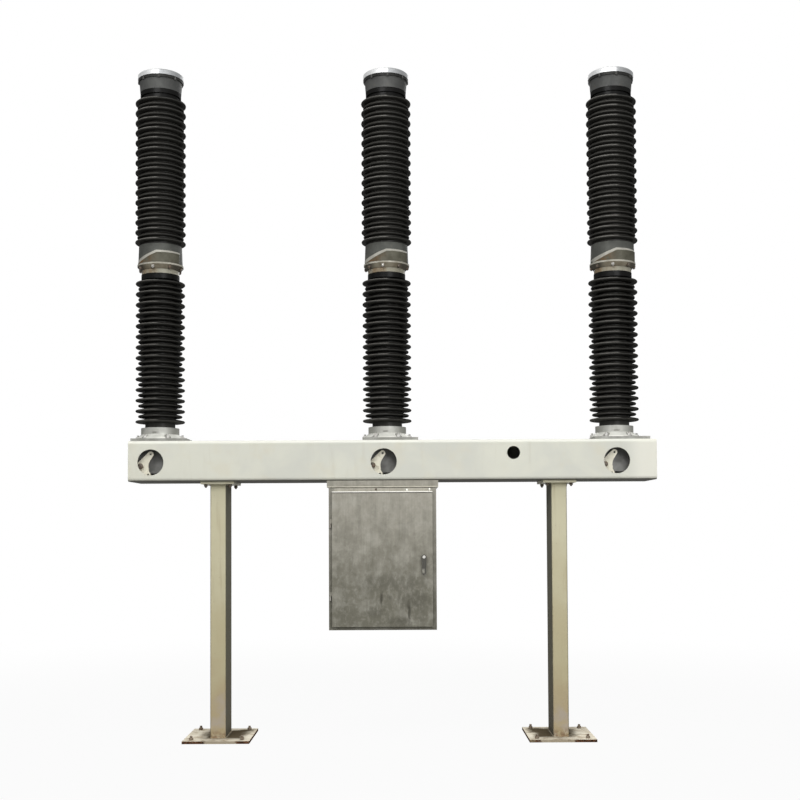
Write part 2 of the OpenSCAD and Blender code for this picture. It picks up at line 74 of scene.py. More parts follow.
beam_low = Vector((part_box("beam_end_left")[0].x, *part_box("beam_front_channel")[0][1:]))
beam_high = Vector((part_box("beam_end_right")[1].x, *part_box("beam_rear_channel")[1][1:]))
cabinet_low, cabinet_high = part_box("cabinet_side_left")
hanger_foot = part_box("cabinet_hanger")[0].z
handle_low, handle_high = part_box("door_handle")
handle_half = (handle_high.x - handle_low.x) / 2
handle_pivot = (handle_low.x + handle_half, handle_high.z - handle_half)
leg_low, leg_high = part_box("leg_left")
leg_half = ((leg_high.x - leg_low.x) / 2, (leg_high.y - leg_low.y) / 2)
leg_centres = [middle(f"leg_{side}") for side in SIDES]
pole_axis = middle("support_insulator_centre")
pole_pitch = middle("support_insulator_right").x - pole_axis.x
support_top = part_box("support_insulator_left")[1].z
interrupter_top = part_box("interrupter_insulator_left")[1].z
housing_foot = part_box("terminal_housing_left")[0].z
flange_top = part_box("top_flange_left")[1].z

# Heights on the CAD castings that the finishes and the fittings follow

SEAT_THICKNESS = 22 * MM
RING_HEIGHT = 38 * MM
LIP_BEVEL = 30 * MM
LIP_HEIGHT = 43 * MM
RIM_HEIGHT = 20 * MM
seat_top = beam_high.z + SEAT_THICKNESS
ring_top = seat_top + RING_HEIGHT

# How softly one tone passes into the next at a step, and at a band of height

STEP_EDGE = 1 * MM
BAND_EDGE = 1.5 * MM

# Sockets of a Mix node that take and give colours

MIX_FIRST, MIX_SECOND, MIX_RESULT = 6, 7, 2


class Finish:
    """A material's node tree, with short calls for the nodes that the finishes share."""

    def __init__(self, name, **sockets):
        self.material = bpy.data.materials.new(name)
        self.material.use_nodes = True
        self.tree = self.material.node_tree
        self.bsdf = self.tree.nodes["Principled BSDF"]
        for socket, value in sockets.items():
            self.bsdf.inputs[socket.replace("_", " ")].default_value = value
        coordinates = self.node("ShaderNodeTexCoord")
        self.place = coordinates.outputs["Object"]
        self.normal = coordinates.outputs["Normal"]

    def node(self, kind, **settings):
        made = self.tree.nodes.new(kind)
        for key, value in settings.items():
            setattr(made, key, value)
        return made

    def feed(self, socket, value):
        """Sets a socket to a plain value, or links another socket to it."""
        if isinstance(value, bpy.types.NodeSocket):
            self.tree.links.new(value, socket)
        else:
            socket.default_value = value

    def noise(self, scale, detail=4.0, roughness=0.55, stretch=(1, 1, 1), distortion=0.0, offset=0.0):
        mapping = self.node("ShaderNodeMapping")
        self.feed(mapping.inputs["Vector"], self.place)
        mapping.inputs["Scale"].default_value = stretch
        mapping.inputs["Location"].default_value = (offset, offset, offset)
        texture = self.node("ShaderNodeTexNoise")
        self.feed(texture.inputs["Vector"], mapping.outputs["Vector"])
        texture.inputs["Scale"].default_value = scale
        texture.inputs["Detail"].default_value = detail
        texture.inputs["Roughness"].default_value = roughness
        texture.inputs["Distortion"].default_value = distortion
        return texture.outputs["Fac"]

    def fade(self, value, low, high, start=0.0, end=1.0):
        """Runs smoothly from start to end as value goes from low to high."""
        ramp = self.node("ShaderNodeMapRange", interpolation_type="SMOOTHSTEP")
        self.feed(ramp.inputs["Value"], value)
        ramp.inputs["From Min"].default_value = low
        ramp.inputs["From Max"].default_value = high
        ramp.inputs["To Min"].default_value = start
        ramp.inputs["To Max"].default_value = end
        return ramp.outputs["Result"]

    def math(self, operation, first, second=0.0):
        made = self.node("ShaderNodeMath", operation=operation)
        self.feed(made.inputs[0], first)
        self.feed(made.inputs[1], second)
        return made.outputs[0]

    def overlap(self, first, *others):
        """The product of masks, which is full only where all of them are."""
        for mask in others:
            first = self.math("MULTIPLY", first, mask)
        return first

    def most(self, first, *others):
        """The strongest of some masks."""
        for mask in others:
            first = self.math("MAXIMUM", first, mask)
        return first

    def between(self, value, low, high, edge):
        """1 between two levels, with soft edges, and 0 beyond them."""
        rise = self.fade(value, low - edge, low + edge)
        return self.overlap(rise, self.fade(value, high - edge, high + edge, 1.0, 0.0))

    def axis(self, letter, source=None):
        """One coordinate of the place, or of another vector."""
        split = self.node("ShaderNodeSeparateXYZ")
        self.feed(split.inputs[0], source or self.place)
        return split.outputs[letter]

    def aside(self):
        """How much a surface faces either side."""
        return self.math("ABSOLUTE", self.axis("X", self.normal))

    def front(self):
        """1 on surfaces that face the front, and 0 on the rest."""
        return self.fade(self.axis("Y", self.normal), -0.6, -0.3, 1.0, 0.0)

    def distance(self, across, along):
        """Length of a step from its two parts."""
        squares = [self.math("MULTIPLY", part, part) for part in (across, along)]
        return self.math("SQRT", self.math("ADD", *squares))

    def spot(self, across, height, place, half, ragged):
        """Distance from a place on an upright face in half sizes, made uneven by a ragged amount."""
        parts = [self.math("DIVIDE", self.math("SUBTRACT", at, centre), reach)
                 for at, centre, reach in zip((across, height), place, half)]
        return self.math("ADD", self.distance(*parts), ragged)

    def pole_place(self):
        """Sideways place from the nearest pole's axis, and distance from it."""
        wrap = self.node("ShaderNodeMath", operation="WRAP")
        self.feed(wrap.inputs[0], self.math("SUBTRACT", self.axis("X"), pole_axis.x))
        wrap.inputs[1].default_value = pole_pitch / 2
        wrap.inputs[2].default_value = -pole_pitch / 2
        across = wrap.outputs[0]
        return across, self.distance(across, self.math("SUBTRACT", self.axis("Y"), pole_axis.y))

    def mix(self, factor, first, second):
        made = self.node("ShaderNodeMix", data_type="RGBA")
        self.feed(made.inputs["Factor"], factor)
        for socket, tone in ((MIX_FIRST, first), (MIX_SECOND, second)):
            linked = isinstance(tone, bpy.types.NodeSocket)
            self.feed(made.inputs[socket], tone if linked else (*tone, 1))
        return made.outputs[MIX_RESULT]

    def colour(self, value):
        self.feed(self.bsdf.inputs["Base Color"], value)

    def coat(self, share, tone):
        """Lays a tone over the colour so far."""
        below = self.bsdf.inputs["Base Color"].links[0].from_socket
        self.colour(self.mix(share, below, tone))

    def roughness(self, factor, low, high):
        self.feed(self.bsdf.inputs["Roughness"], self.fade(factor, 0.25, 0.75, low, high))

    def bump(self, *layers):
        """Layers of (height, strength, depth in millimetres), the coarsest first."""
        normal = None
        for height, strength, depth in layers:
            made = self.node("ShaderNodeBump")
            made.inputs["Strength"].default_value = strength
            made.inputs["Distance"].default_value = depth * MM
            self.feed(made.inputs["Height"], height)
            if normal is not None:
                self.feed(made.inputs["Normal"], normal)
            normal = made.outputs["Normal"]
        self.feed(self.bsdf.inputs["Normal"], normal)


# Porcelain: distances from the pole axis, heights below and above an insulator's top, and tones

SHED_ROOT = lengths(150, 158)
RIM_START = lengths(155, 160)
LARGE_RIM = lengths(178, 184)
SUPPORT_HEAD = 66 * MM
INTERRUPTER_HEAD = 84 * MM
UPPER_START = lengths(0, 100)
GLAZE_TONES = ((0.008, 0.0077, 0.0068), (0.0135, 0.0125, 0.0106))
GLAZE_BLACK = (0.004, 0.004, 0.0036)
GLAZE_FILL_LIGHT = (0.05, 0.049, 0.0445)
GLAZE_DUST = (0.06, 0.055, 0.047)
RIM_HIGHLIGHT = (0.148, 0.143, 0.131)


def glaze():
    """Black-brown glazed porcelain with black heads; painted highlights on the rims' left side, painted
    shade on the right, painted fill light under the sheds.
    """
    f = Finish("porcelain_glaze", Specular_IOR_Level=0.0, Coat_Weight=0.042, Coat_IOR=2.4,
               Coat_Roughness=0.32)
    tilt, rightward = f.axis("Z", f.normal), f.axis("X", f.normal)
    height, reach = f.axis("Z"), f.pole_place()[1]
    above = f.math("SUBTRACT", height, support_top)
    f.colour(f.mix(f.fade(f.noise(7, detail=5), 0.3, 0.7), *GLAZE_TONES))
    dust = f.fade(f.noise(22, detail=6), 0.35, 0.75, 0.1, 0.4)
    f.coat(f.overlap(f.fade(tilt, 0.35, 0.9), dust), GLAZE_DUST)
    f.coat(f.fade(above, *UPPER_START, 0.4, 0.0), GLAZE_BLACK)
    # Painted shade: darker glaze on the surfaces that face right
    f.coat(f.fade(rightward, 0.0, 0.25, 0.0, 0.6), GLAZE_BLACK)
    # Painted fill light: a lighter tone in the shade between the sheds and under them
    f.coat(f.most(f.fade(reach, *SHED_ROOT, 0.9, 0.0), f.fade(tilt, -0.3, -0.05, 0.9, 0.0)), GLAZE_FILL_LIGHT)
    for top, head in ((support_top, SUPPORT_HEAD), (interrupter_top, INTERRUPTER_HEAD)):
        f.coat(f.between(height, top - head, top, STEP_EDGE), GLAZE_BLACK)
    # Painted highlight: a pale tone on the upper rounding of the shed rims, strongest on the large sheds
    # and on faces that look left
    rim = f.overlap(f.between(tilt, 0.1, 0.75, 0.15), f.fade(reach, *RIM_START),
                    f.fade(reach, *LARGE_RIM, 0.25, 1.0), f.fade(above, *UPPER_START, 0.75, 1.0))
    lit_side = f.fade(rightward, -0.02, 0.14, 1.0, 0.0)
    f.coat(f.overlap(rim, lit_side, f.fade(f.noise(12), 0.3, 0.7, 0.5, 1.0)), RIM_HIGHLIGHT)
    f.roughness(f.noise(30, detail=5), 0.3, 0.5)
    f.bump((f.noise(45, detail=2), 0.05, 2), (f.noise(420, detail=2), 0.03, 0.5))
    return f


# Beam: sheet, depths below its top and in from its right end, and tones

BEAM_SKIN = 7.8 * MM
SKIN_EDGE = 0.1 * MM
BEAM_CREST = lengths(12, 28)
BEAM_END = lengths(100, 260)
BEAM_TONES = ((0.65, 0.65, 0.565), (0.585, 0.59, 0.53))
BEAM_WARM = (0.62, 0.59, 0.475)
BEAM_RUNS = (0.5, 0.47, 0.38)
BEAM_SPECKS = (0.3, 0.26, 0.2)
BEAM_CREST_HIGHLIGHT = (0.79, 0.79, 0.72)
BEAM_END_TONE = (0.76, 0.75, 0.665)
BEAM_UNDERSIDE_SHADE = (0.085, 0.08, 0.065)
BEAM_INSIDE = (0.6, 0.59, 0.53)


def beam_paint():
    """Pale warm grey paint on folded sheet, a little wavy, with faint runs, a painted highlight along its
    top edge and painted shade on its underside.
    """
    f = Finish("beam_paint", Specular_IOR_Level=0.0, Coat_Weight=0.12, Coat_Roughness=0.35)
    f.colour(f.mix(f.fade(f.noise(2.6, detail=4, distortion=0.4), 0.32, 0.68), *BEAM_TONES))
    f.coat(f.fade(f.noise(5, offset=3.1), 0.5, 0.75, 0.0, 0.5), BEAM_WARM)
    runs = f.noise(16, detail=5, stretch=(1, 1, 0.12), offset=7.3)
    f.coat(f.fade(runs, 0.58, 0.8, 0.0, 0.3), BEAM_RUNS)
    f.coat(f.fade(f.noise(160, detail=2), 0.74, 0.8, 0.0, 0.35), BEAM_SPECKS)
    # Painted highlight: paler along the rounded top edge
    f.coat(f.fade(f.math("SUBTRACT", beam_high.z, f.axis("Z")), *BEAM_CREST, 0.7, 0.0), BEAM_CREST_HIGHLIGHT)
    f.coat(f.fade(f.math("SUBTRACT", beam_high.x, f.axis("X")), *BEAM_END, 0.75, 0.0), BEAM_END_TONE)
    # Painted shade: dark on faces that look down
    f.coat(f.fade(f.axis("Z", f.normal), -0.9, -0.5, 0.88, 0.0), BEAM_UNDERSIDE_SHADE)
    f.coat(f.overlap(*[f.between(f.axis(letter), low + BEAM_SKIN, high - BEAM_SKIN, SKIN_EDGE)
                       for letter, low, high in zip("XYZ", beam_low, beam_high)]), BEAM_INSIDE)
    f.roughness(f.noise(9, detail=5), 0.34, 0.52)
    f.bump((f.noise(2.2, detail=1), 0.12, 12), (f.noise(380, detail=2), 0.04, 0.5))
    return f


# Legs: heights above the ground between which each tone fades, and tones

LEG_WANDER = 280 * MM
LEG_CLEAN = lengths(750, 1750)
LEG_OCHRE = lengths(100, 750)
LEG_DUST = lengths(50, 300)
LEG_RUST = lengths(20, 110)
WELD_SHADE = lengths(30, 34)
LEG_TONES = ((0.48, 0.43, 0.275), (0.57, 0.54, 0.385))
LEG_OCHRE_TONE = (0.43, 0.355, 0.22)
LEG_DUST_TONE = (0.42, 0.365, 0.29)
LEG_RUNS = (0.33, 0.27, 0.165)
LEG_CHIPS = (0.24, 0.16, 0.09)
LEG_RUST_TONE = (0.25, 0.17, 0.1)
LEG_FLANK_SHADE = (0.095, 0.094, 0.076)


def leg_paint():
    """Beige paint that turns to ochre dirt and rust towards the foot, with runs, and painted shade on its
    flanks.
    """
    f = Finish("leg_paint", Specular_IOR_Level=0.0, Coat_Weight=0.1, Coat_Roughness=0.45)
    height = f.axis("Z")
    uneven = f.fade(f.noise(3.5, detail=5), 0.2, 0.8, -LEG_WANDER, LEG_WANDER)
    wander = f.math("ADD", height, uneven)
    f.colour(f.mix(f.fade(wander, *LEG_CLEAN), *LEG_TONES))
    f.coat(f.fade(wander, *LEG_OCHRE, 1.0, 0.0), LEG_OCHRE_TONE)
    dust = f.fade(f.noise(9, offset=2.0), 0.4, 0.65)
    f.coat(f.overlap(f.fade(wander, *LEG_DUST, 1.0, 0.0), dust), LEG_DUST_TONE)
    runs = f.noise(26, detail=6, stretch=(1, 1, 0.07), offset=4.4)
    f.coat(f.fade(runs, 0.55, 0.8, 0.0, 0.45), LEG_RUNS)
    chips = f.fade(f.noise(75, detail=4, offset=1.7), 0.7, 0.74, 0.0, 0.7)
    f.coat(chips, LEG_CHIPS)
    rust = f.fade(f.noise(34, detail=5), 0.35, 0.6)
    f.coat(f.overlap(f.fade(height, *LEG_RUST, 1.0, 0.0), rust), LEG_RUST_TONE)
    # Painted shade: darker on faces that look sideways, and on the weld beads' sides at the foot
    aside = f.aside()
    weld_side_shade = f.overlap(f.fade(aside, 0.3, 0.6, 0.0, 0.85), f.fade(height, *WELD_SHADE, 1.0, 0.0))
    f.coat(f.most(f.fade(aside, 0.6, 0.9, 0.0, 0.85), weld_side_shade), LEG_FLANK_SHADE)
    f.roughness(f.noise(14, detail=5), 0.45, 0.68)
    skin = f.noise(300, detail=2)
    f.bump((f.noise(2.5, detail=1), 0.1, 10), (chips, 0.25, -0.8), (skin, 0.06, 0.6))
    return f


# Base plates: how the stain lies inward and forward of each leg, how it fades, and tones

STAIN_SHIFT = lengths(45, 40)
STAIN_FADE = lengths(50, 150)
STAIN_FRONT = lengths(-30, 70)
STAIN_WANDER = 40 * MM
BARE_EDGE = lengths(90, 130)
BARE_WANDER = 40 * MM
PLATE_TONES = ((0.84, 0.78, 0.64), (0.68, 0.61, 0.48))
PLATE_RUST = (0.26, 0.17, 0.1)
PLATE_STAIN = (0.075, 0.056, 0.032)
EDGE_TONES = ((0.045, 0.024, 0.014), (0.15, 0.07, 0.035))
EDGE_FLAKES = (0.33, 0.28, 0.18)
EDGE_BARE = (0.45, 0.39, 0.29)


def stain_places(f):
    """Distances sideways from the nearest stain's middle, and out from the nearest stain's core."""
    sideways, outward = [], []
    for centre in leg_centres:
        x = centre.x - math.copysign(STAIN_SHIFT[0], centre.x)
        offset = f.math("ABSOLUTE", f.math("SUBTRACT", f.axis("X"), x))
        depth = f.math("ABSOLUTE", f.math("SUBTRACT", f.axis("Y"), centre.y - STAIN_SHIFT[1]))
        sideways.append(offset)
        outward.append(f.most(*[f.math("SUBTRACT", *pair) for pair in zip((offset, depth), leg_half)]))
    return f.math("MINIMUM", *sideways), f.math("MINIMUM", *outward)


def plate_top(f, cloud, fine, outward):
    """Dusty paint with rust patches and a dark stain round the leg, weak in front of it."""
    top = f.mix(f.fade(cloud, 0.35, 0.65), *PLATE_TONES)
    patches = f.math("ADD", cloud, f.math("MULTIPLY", fine, 0.35))
    top = f.mix(f.fade(patches, 0.68, 0.9, 0.0, 0.6), top, PLATE_RUST)
    uneven = f.fade(f.noise(7, detail=3, offset=5.0), 0.25, 0.75, -STAIN_WANDER, STAIN_WANDER)
    spread = f.fade(f.math("ADD", outward, uneven), *STAIN_FADE, 0.97, 0.0)
    front = leg_centres[0].y - STAIN_SHIFT[1] - leg_half[1]
    behind = f.fade(f.math("SUBTRACT", f.axis("Y"), front), *STAIN_FRONT, 0.25, 1.0)
    return f.mix(f.overlap(spread, behind), top, PLATE_STAIN)


def plate_rust():
    """Dusty painted plate with a stain round each leg and rusty edges, bare near the middle."""
    f = Finish("rusty_plate", Specular_IOR_Level=0.0)
    cloud = f.noise(14, detail=7, roughness=0.6)
    fine = f.noise(70, detail=6)
    sideways, outward = stain_places(f)
    f.colour(f.mix(f.fade(fine, 0.4, 0.62), *EDGE_TONES))
    f.coat(f.fade(f.noise(9, detail=5, offset=9.0), 0.6, 0.7, 0.0, 0.75), EDGE_FLAKES)
    bare = f.math("ADD", sideways, f.fade(cloud, 0.3, 0.7, -BARE_WANDER, BARE_WANDER))
    f.coat(f.fade(bare, *BARE_EDGE, 0.85, 0.0), EDGE_BARE)
    f.coat(f.fade(f.axis("Z", f.normal), 0.4, 0.8), plate_top(f, cloud, fine, outward))
    f.roughness(fine, 0.7, 0.92)
    f.bump((cloud, 0.3, 2), (fine, 0.5, 1.2))
    return f


# Cabinet sheet: heights, and tones from a darker foot over clear and bright to dim; the darker foot is a
# painted reflection of the ground

SHEET_WANDER = 160 * MM
SHEET_REFLECTION_RISE = 100 * MM
SHEET_TONES = ((0.135, 0.129, 0.1), (0.28, 0.266, 0.225), (0.4, 0.39, 0.34), (0.1, 0.096, 0.076))
SMEAR_TONE = (0.05, 0.047, 0.036)
# Smears on the door: sideways place, height, half width and half height in millimetres, and strength
DOOR_SMEARS = ((-84, 1075, 9, 40, 0.85), (-29, 1085, 12, 20, 0.5), (118, 965, 9, 60, 0.85),
               (-130, 974, 60, 30, 0.35), (60, 900, 90, 30, 0.4), (140, 1060, 100, 60, 0.35),
               (-20, 1190, 200, 50, 0.3))


def sheet_grain(f):
    """Fine upright grain of the sheet, which also roughens its smears."""
    return f.noise(45, detail=6, roughness=0.6, stretch=(1, 1, 0.6), offset=3.0)


def sheet_steel(name, gain=1.0):
    """Mottled stainless sheet, rubbed and streaked, and darker towards the foot as a painted reflection of
    the darker ground.
    """
    f = Finish(name, Metallic=0.35, Specular_IOR_Level=0.25)
    wisp = f.noise(7, detail=5, roughness=0.55, distortion=0.3)
    mottle = f.noise(26, detail=4, roughness=0.55, distortion=0.4, offset=6.0)
    streak = f.noise(9, detail=4, stretch=(1.8, 1, 0.4), offset=2.0)
    brush = f.noise(90, detail=3, stretch=(1, 1, 0.04), offset=1.0)
    wander = f.math("ADD", f.axis("Z"), f.fade(wisp, 0.2, 0.8, -SHEET_WANDER, SHEET_WANDER))
    dull, clear, bright, dim = [tuple(gain * c for c in tone) for tone in SHEET_TONES]
    # Painted reflection: darker towards the foot, where the sheet would mirror the darker ground
    f.colour(f.mix(f.fade(wander, cabinet_low.z + SHEET_REFLECTION_RISE, cabinet_high.z), dull, clear))
    f.coat(f.fade(wisp, 0.45, 0.72, 0.0, 0.38), bright)
    f.coat(f.fade(mottle, 0.45, 0.75, 0.0, 0.26), bright)
    f.coat(f.fade(mottle, 0.25, 0.5, 0.24, 0.0), dim)
    f.coat(f.fade(streak, 0.3, 0.55, 0.28, 0.0), dim)
    f.coat(f.fade(brush, 0.35, 0.65, 0.12, 0.0), dim)
    f.coat(f.fade(sheet_grain(f), 0.5, 0.75, 0.0, 0.22), bright)
    f.roughness(f.math("ADD", *[f.math("MULTIPLY", part, 0.5) for part in (wisp, mottle)]), 0.42, 0.66)
    f.bump((f.noise(3.0, detail=1), 0.1, 6), (brush, 0.04, 0.4))
    return f


def smeared(f):
    """Lays the door's soft dark smears over the front of a sheet."""
    ragged = f.fade(sheet_grain(f), 0.3, 0.7, -0.5, 0.5)
    front = f.front()
    for x, z, wide, tall, strength in DOOR_SMEARS:
        reach = f.spot(f.axis("X"), f.axis("Z"), lengths(x, z), lengths(wide, tall), ragged)
        f.coat(f.overlap(f.fade(reach, 0.2, 1.7, strength, 0.0), front), SMEAR_TONE)
    return f


# Castings

CAST_STAIN = (0.16, 0.13, 0.09)


def cast_metal(name, light, dark, metallic):
    """Sand-cast metal: fine grain, clouds of tone and some stain."""
    f = Finish(name, Metallic=metallic, Specular_IOR_Level=0.0, Coat_Weight=0.1, Coat_Roughness=0.4)
    cloud = f.noise(9, detail=6)
    f.colour(f.mix(f.fade(cloud, 0.3, 0.7), light, dark))
    f.coat(f.fade(f.noise(28, detail=6, offset=4.0), 0.6, 0.8, 0.0, 0.3), CAST_STAIN)
    f.roughness(f.noise(18, detail=5), 0.42, 0.64)
    f.bump((cloud, 0.06, 4), (f.noise(260, detail=3), 0.16, 0.6))
    return f


def banded(f, bands):
    """Gives a finish other tones in bands of height: (low, high, light, dark) each."""
    height = f.axis("Z")
    cloud = f.fade(f.noise(12, detail=5, offset=2.2), 0.35, 0.65)
    for low, high, light, dark in bands:
        f.coat(f.between(height, low, high, BAND_EDGE), f.mix(cloud, light, dark))
    return f


# Pole bases: a smudge on the neck, placed sideways from the pole axis and above the ring, and tones

NECK_SMUDGE = lengths(-10, 12)
NECK_SMUDGE_HALF = lengths(26, 7)
NECK_TONES = ((0.46, 0.46, 0.43), (0.37, 0.37, 0.34))
NECK_FLANK_SHADE = (0.17, 0.17, 0.15)
NECK_SMUDGE_TONE = (0.09, 0.085, 0.07)
BASE_BANDS = (
    (0.0, beam_high.z, (0.24, 0.24, 0.23), (0.17, 0.17, 0.16)),
    (beam_high.z, seat_top, (0.3, 0.3, 0.28), (0.22, 0.22, 0.2)),
    (seat_top, ring_top, (0.69, 0.69, 0.64), (0.58, 0.58, 0.535)),
)


def base_cast():
    """Pale casting with a bright ring, painted shade on its flanks and a dark smudge on the front of its
    neck.
    """
    f = banded(cast_metal("cast_aluminium", *NECK_TONES, 0.3), BASE_BANDS)
    height = f.axis("Z")
    above_seat = f.fade(height, seat_top, seat_top + STEP_EDGE)
    # Painted shade: darker on the neck's faces that look sideways
    f.coat(f.overlap(f.fade(f.aside(), 0.35, 0.9, 0.0, 0.55), above_seat), NECK_FLANK_SHADE)
    place = (NECK_SMUDGE[0], ring_top + NECK_SMUDGE[1])
    ragged = f.fade(f.noise(60), 0.3, 0.7, -0.3, 0.3)
    reach = f.spot(f.pole_place()[0], height, place, NECK_SMUDGE_HALF, ragged)
    f.coat(f.overlap(f.fade(reach, 0.0, 1.5, 0.7, 0.0), f.front()), NECK_SMUDGE_TONE)
    return f


# Terminal housings: places sideways and out from the pole axis, and tones

LIP_SHADE = lengths(70, 130)
PAD_START = lengths(169.5, 171)
PAD_STAIN = lengths(-130, 30)
HOUSING_TONES = ((0.094, 0.096, 0.087), (0.067, 0.069, 0.063))
LIP_SHADE_TONE = (0.06, 0.056, 0.045)
PAD_TONES = ((0.1, 0.096, 0.074), (0.07, 0.067, 0.05))
PAD_STAIN_TONE = (0.13, 0.08, 0.043)
LIP_BANDS = (
    (housing_foot, housing_foot + LIP_BEVEL, (0.3, 0.27, 0.205), (0.2, 0.17, 0.12)),
    (housing_foot + LIP_BEVEL, housing_foot + LIP_HEIGHT, (0.4, 0.385, 0.33), (0.27, 0.255, 0.21)),
)


def housing_cast():
    """Grey casting with a pale lip, a shaded underside and an olive pad with a brown stain at its left."""
    f = banded(cast_metal("housing_cast", *HOUSING_TONES, 0.1), LIP_BANDS)
    across, reach = f.pole_place()
    rise = f.math("SUBTRACT", f.axis("Z"), housing_foot)
    under = f.fade(rise, LIP_BEVEL - STEP_EDGE, LIP_BEVEL, 1.0, 0.0)
    f.coat(f.overlap(f.fade(f.math("ABSOLUTE", across), *LIP_SHADE, 0.0, 0.85), under), LIP_SHADE_TONE)
    olive = f.mix(f.fade(f.noise(15, detail=5, offset=1.0), 0.35, 0.65), *PAD_TONES)
    patches = f.fade(f.noise(20, detail=5, offset=3.0), 0.3, 0.6)
    stained = f.mix(f.overlap(f.fade(across, *PAD_STAIN, 0.9, 0.0), patches), olive, PAD_STAIN_TONE)
    f.coat(f.overlap(f.fade(reach, *PAD_START), f.fade(rise, LIP_HEIGHT, LIP_HEIGHT + STEP_EDGE)), stained)
    return f


# Collars: sideways places between which the stain ends, and tones

COLLAR_STAIN = lengths(-30, 20)
COLLAR_TONES = ((0.36, 0.35, 0.285), (0.27, 0.26, 0.205))
COLLAR_STAIN_TONE = (0.2, 0.14, 0.08)


def stained_collar():
    """Greenish-grey paint that a brown run stains on the left half."""
    f = Finish("collar_paint", Specular_IOR_Level=0.15)
    f.colour(f.mix(f.fade(f.noise(10, detail=5), 0.3, 0.7), *COLLAR_TONES))
    run = f.noise(16, detail=5, stretch=(1, 1, 0.3), offset=5.0)
    left = f.fade(f.pole_place()[0], *COLLAR_STAIN, 1.0, 0.15)
    f.coat(f.overlap(left, f.fade(run, 0.35, 0.62, 0.25, 0.85)), COLLAR_STAIN_TONE)
    f.roughness(f.noise(25, detail=5), 0.45, 0.62)
    f.bump((f.noise(320, detail=2), 0.08, 0.5))
    return f


# Top covers

LID_TURNING = 4 * MM
LID_TONES = ((0.56, 0.565, 0.565), (0.47, 0.475, 0.475))
LID_PAINTED_REFLECTION = (0.2, 0.206, 0.21)


def lid_metal():
    """Spun bright metal with fine turning lines, and a painted reflection that darkens its right side."""
    f = Finish("cover_metal", Metallic=0.85)
    cloud = f.noise(14, detail=5)
    f.colour(f.mix(f.fade(cloud, 0.3, 0.7), *LID_TONES))
    # Painted reflection: darker on the faces that look right
    f.coat(f.fade(f.axis("X", f.normal), 0.04, 0.16, 0.0, 0.8), LID_PAINTED_REFLECTION)
    turning = f.math("SINE", f.math("MULTIPLY", f.pole_place()[1], 2 * math.pi / LID_TURNING))
    f.roughness(cloud, 0.5, 0.6)
    f.bump((cloud, 0.03, 3), (turning, 0.04, 0.3))
    return f


# Door handle: sideways places, heights and a radius from its pivot, and tones

HANDLE_EDGE = lengths(0, 8)
HANDLE_GRIP_FOOT = lengths(-100, -80)
HANDLE_TIP = lengths(-125, -110)
PIVOT_RIM = lengths(9, 13)
HANDLE_TONES = ((0.26, 0.25, 0.215), (0.17, 0.163, 0.138))
HANDLE_SHADE = (0.04, 0.038, 0.032)
PIVOT_TONE = (0.62, 0.61, 0.57)


def handle_metal():
    """Worn steel lever with painted shade on its right edge, its grip and its tip, and a bright pivot."""
    f = Finish("handle_metal", Metallic=0.2, Specular_IOR_Level=0.3)
    scuff = f.noise(60, detail=5, distortion=0.5)
    f.colour(f.mix(f.fade(scuff, 0.35, 0.7), *HANDLE_TONES))
    right, above = [f.math("SUBTRACT", f.axis(letter), at) for letter, at in zip("XZ", handle_pivot)]
    # Painted shade: darker on the lever's right edge, near its hub and at its tip
    f.coat(f.most(f.fade(right, *HANDLE_EDGE, 0.0, 0.9), f.fade(above, *HANDLE_GRIP_FOOT, 0.0, 0.85),
                  f.fade(above, *HANDLE_TIP, 0.8, 0.0)), HANDLE_SHADE)
    f.coat(f.fade(f.distance(right, above), *PIVOT_RIM, 1.0, 0.0), PIVOT_TONE)
    f.roughness(scuff, 0.25, 0.45)
    f.bump((f.noise(190, detail=3), 0.08, 0.4))
    return f


# Plain paint and plated metal

ENAMEL_DIRT = (0.22, 0.17, 0.1)
RUST_BLOOM = (0.13, 0.065, 0.03)


def enamel(name, light, dark):
    """Plain paint with clouds of tone, dirt and a fine skin."""
    f = Finish(name, Specular_IOR_Level=0.2)
    f.colour(f.mix(f.fade(f.noise(10, detail=5), 0.3, 0.7), light, dark))
    f.coat(f.fade(f.noise(21, detail=6, offset=8.0), 0.55, 0.78, 0.0, 0.5), ENAMEL_DIRT)
    f.roughness(f.noise(25, detail=5), 0.4, 0.58)
    f.bump((f.noise(320, detail=2), 0.08, 0.5))
    return f


def plated(name, bright, dull, roughness, metallic=1.0, rust_share=0.0):
    """Bare or plated metal with scuffs and, where asked, rust bloom."""
    f = Finish(name, Metallic=metallic)
    scuff = f.noise(60, detail=5, distortion=0.5)
    f.colour(f.mix(f.fade(scuff, 0.35, 0.7), bright, dull))
    f.coat(f.fade(f.noise(48, detail=6, offset=6.6), 0.45, 0.7, 0.0, rust_share), RUST_BLOOM)
    f.roughness(scuff, *roughness)
    f.bump((f.noise(190, detail=3), 0.08, 0.4))
    return f


